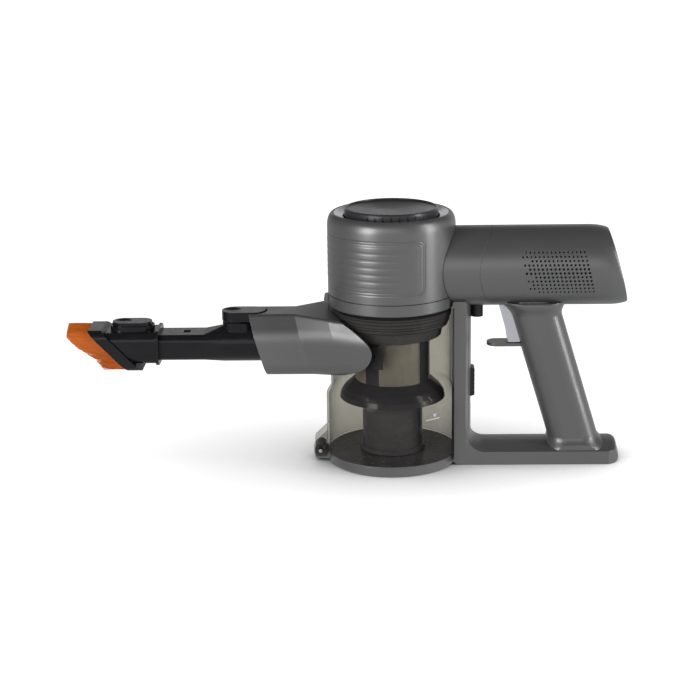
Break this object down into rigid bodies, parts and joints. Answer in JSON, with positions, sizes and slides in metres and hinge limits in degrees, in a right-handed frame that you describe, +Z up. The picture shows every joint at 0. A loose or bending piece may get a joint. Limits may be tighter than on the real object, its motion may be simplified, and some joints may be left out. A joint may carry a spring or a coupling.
{
  "type": "cordless hand vacuum",
  "caption": "Cordless vacuum's handheld unit: pistol grip, clear dust cup with drop-open base, and a crevice tool with a sliding brush.",
  "frame": {"origin": "on the floor under the axis of the dust cup, on the underside of the bottom flap", "axes": "+Z up along the cup's axis, +X to the rear towards the grip, so the tool points along -X"},
  "size_m": [0.5058, 0.12, 0.2332],
  "materials": {
    "casing_grey": "satin metallic-look moulded plastic",
    "ring_silver": "satin silver plastic",
    "cap_grey": "brushed-look satin plastic",
    "screw_steel": "bright machined",
    "trigger_silver": "satin silver plastic",
    "black_plastic": "semi-gloss black moulded plastic",
    "black_rubber": "matt",
    "motor_steel": "zinc plated",
    "impeller_grey": "moulded",
    "filter_foam": "open-cell foam",
    "filter_paper": "pleated filter paper",
    "dark_plastic": "semi-gloss blue-black plastic",
    "cell_wrap": "shrink wrap",
    "strap_nickel": "nickel strip",
    "board_green": "solder mask",
    "cup_clear": "smoke-tinted clear plastic",
    "mesh_metal": "fine etched metal mesh",
    "bristle_orange": "nylon bristles"
  },
  "bodies": {
    "motor_unit": {"handle_shell_left": "casing_grey", "handle_shell_right": "casing_grey", "handle_screws": "screw_steel", "finger_guard": "casing_grey", "trigger_pin": "screw_steel", "trigger_spring": "screw_steel", "trigger_switch": "black_plastic", "slider_spring": "screw_steel", "charging_socket": "black_plastic", "drum_shell": "casing_grey", "rear_cap": "casing_grey", "motor_can": "motor_steel", "motor_stator": "motor_steel", "motor_bearings": "motor_steel", "front_bridge": "black_plastic", "rear_bridge": "black_plastic", "motor_seal": "black_rubber", "exhaust_foam": "filter_foam", "battery_cells": "cell_wrap", "cell_straps": "strap_nickel", "control_board": "board_green", "head_casing": "casing_grey", "cap_ring": "ring_silver", "head_trim": "casing_grey", "head_floor": "dark_plastic", "foam_filter": "filter_foam"},
    "cap_unit": {"filter_cap": "cap_grey", "pleated_filter": "filter_paper", "filter_end_rings": "dark_plastic"},
    "rotor_unit": {"motor_rotor": "motor_steel", "impeller": "impeller_grey"},
    "trigger_lever": {"trigger": "trigger_silver"},
    "slider": {"release_slider": "black_plastic", "release_rod": "black_plastic"},
    "cup_release": {"cup_button": "casing_grey"},
    "cup_unit": {"cup_shell": "cup_clear", "cup_seal": "black_rubber", "hinge_pin": "screw_steel", "shroud_collar": "dark_plastic", "mesh_screen": "mesh_metal", "shroud_ribs": "dark_plastic", "skirt": "dark_plastic", "fines_cup": "dark_plastic", "vortex_cone": "dark_plastic", "vortex_finder": "dark_plastic", "inlet_guide": "dark_plastic", "inlet_duct": "casing_grey", "duct_socket": "black_plastic"},
    "flap": {"bottom_flap": "casing_grey", "flap_seal": "black_rubber"},
    "tool": {"crevice_tube": "black_plastic", "latch_pin": "screw_steel"},
    "latch": {"tool_latch": "black_plastic"},
    "brush": {"brush_sleeve": "black_plastic", "brush_frame": "black_plastic", "bristles": "bristle_orange"},
    "brush_lock": {"slide_button": "black_plastic"}
  },
  "joints": [
    {"name": "cup_removal", "type": "slide", "parent": "motor_unit", "child": "cup_unit", "axis": [0, 0, -1], "range_m": [0, 0.06]},
    {"name": "flap_hinge", "type": "hinge", "parent": "cup_unit", "child": "flap", "pos_m": [-0.066, 0, 0.0104], "axis": [0, 1, 0], "range_deg": [0, 95]},
    {"name": "tool_pull", "type": "slide", "parent": "cup_unit", "child": "tool", "axis": [-1, 0, 0], "range_m": [0, 0.06]},
    {"name": "tool_latch_press", "type": "hinge", "parent": "tool", "child": "latch", "pos_m": [-0.133, 0, 0.1333], "axis": [0, -1, 0], "range_deg": [0, 3], "stiffness_Nm_per_rad": 0.6, "springref_deg": -5.73},
    {"name": "brush_slide", "type": "slide", "parent": "tool", "child": "brush", "axis": [1, 0, 0], "range_m": [0, 0.026]},
    {"name": "brush_lock_press", "type": "slide", "parent": "brush", "child": "brush_lock", "axis": [0, 0, -1], "range_m": [0, 0.001], "stiffness_N_per_m": 600, "springref_m": -0.001},
    {"name": "trigger_pull", "type": "hinge", "parent": "motor_unit", "child": "trigger_lever", "pos_m": [0.1015, 0, 0.148], "axis": [0, -1, 0], "range_deg": [0, 6], "stiffness_Nm_per_rad": 0.8, "springref_deg": -8.59},
    {"name": "slider_push", "type": "slide", "parent": "motor_unit", "child": "slider", "axis": [0, 0, -1], "range_m": [0, 0.007], "stiffness_N_per_m": 300, "springref_m": -0.002, "deforming": ["slider_spring"]},
    {"name": "cup_button_press", "type": "slide", "parent": "motor_unit", "child": "cup_release", "axis": [1, 0, 0], "range_m": [0, 0.0015], "stiffness_N_per_m": 800, "springref_m": -0.001},
    {"name": "motor_spin", "type": "hinge", "parent": "motor_unit", "child": "rotor_unit", "pos_m": [0.12, 0, 0.1794], "axis": [1, 0, 0], "continuous": true},
    {"name": "cap_lift", "type": "slide", "parent": "motor_unit", "child": "cap_unit", "axis": [0, 0, 1], "range_m": [0, 0.056]}
  ]
}
